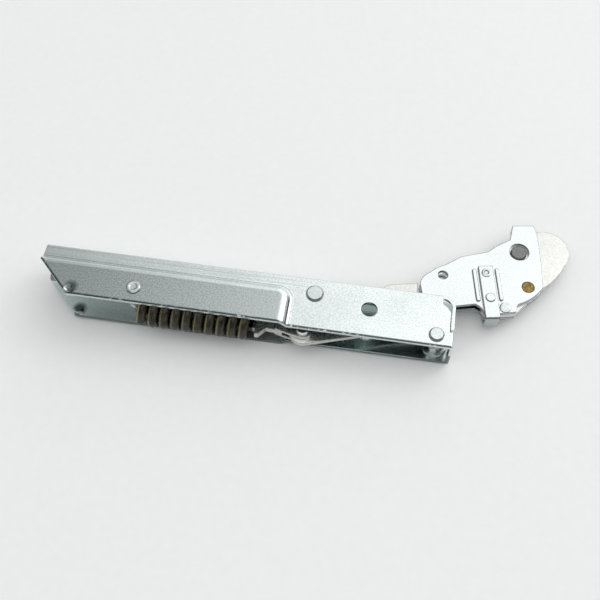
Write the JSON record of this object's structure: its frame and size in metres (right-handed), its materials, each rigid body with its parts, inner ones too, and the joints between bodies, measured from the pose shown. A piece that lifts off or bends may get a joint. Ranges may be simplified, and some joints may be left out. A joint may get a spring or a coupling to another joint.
{
  "type": "oven door hinge",
  "caption": "Oven door hinge: folded zinc-plated channel with a coil spring, forked strap and cranked link that pull a plate arm with a rounded hook nose and a folded lock latch.",
  "frame": {"origin": "axis of the fixing hole, midway between the two flanges of the channel", "axes": "+X along the channel to the arm, +Y from the open side to the web, +Z along the pivot axis; the hinge lies on its lower flange as pictured"},
  "size_m": [0.2573, 0.0843, 0.0244],
  "materials": {
    "zinc_plate": "bright zinc plating with fine grain",
    "rivet_zinc": "zinc-plated rivet steel, satin",
    "dull_zinc": "duller zinc plating, grainy",
    "spring_wire": "oil-tempered spring wire, dark olive",
    "grey_pin": "plain grey steel, matt",
    "brass_pin": "yellow-passivated pin, dull brass colour"
  },
  "bodies": {
    "channel": {"hinge_channel": "zinc_plate", "tail_rivet": "rivet_zinc", "stop_rivet": "rivet_zinc", "stop_bush": "rivet_zinc", "pivot_rivet": "rivet_zinc", "pivot_washers": "rivet_zinc", "spring_anchor": "dull_zinc", "coil_spring": "spring_wire"},
    "strap": {"pull_strap": "dull_zinc", "strap_pin": "rivet_zinc"},
    "link": {"pull_link": "dull_zinc"},
    "arm": {"arm_front_plate": "zinc_plate", "arm_rear_plate": "zinc_plate", "arm_core_plate": "dull_zinc", "eye_collar": "rivet_zinc", "link_pin": "rivet_zinc", "head_pin": "grey_pin", "brass_pin": "brass_pin", "hook_rivet": "rivet_zinc", "latch_rivet": "rivet_zinc"},
    "latch": {"lock_latch": "zinc_plate"}
  },
  "joints": [
    {"name": "arm_pivot", "type": "hinge", "parent": "channel", "child": "arm", "pos_m": [0.0326, -0.0088, 0], "axis": [0, 0, 1], "range_deg": [-10, 76]},
    {"name": "strap_slide", "type": "slide", "parent": "channel", "child": "strap", "axis": [1, 0, 0], "range_m": [-0.0169, 0.0023], "deforming": ["coil_spring"]},
    {"name": "link_swing", "type": "hinge", "parent": "strap", "child": "link", "pos_m": [-0.03, -0.0127, 0], "axis": [0, 0, 1], "range_deg": [-8.2, 1.2]},
    {"name": "latch_swing", "type": "hinge", "parent": "arm", "child": "latch", "pos_m": [0.0546, 0.0315, 0], "axis": [0, 0, 1], "range_deg": [-3.5, 0]}
  ],
  "couplings": [
    {"joint": "strap_slide", "follows": "arm_pivot", "m_per_rad": -0.012609},
    {"joint": "link_swing", "follows": "arm_pivot", "ratio": -0.1062}
  ]
}
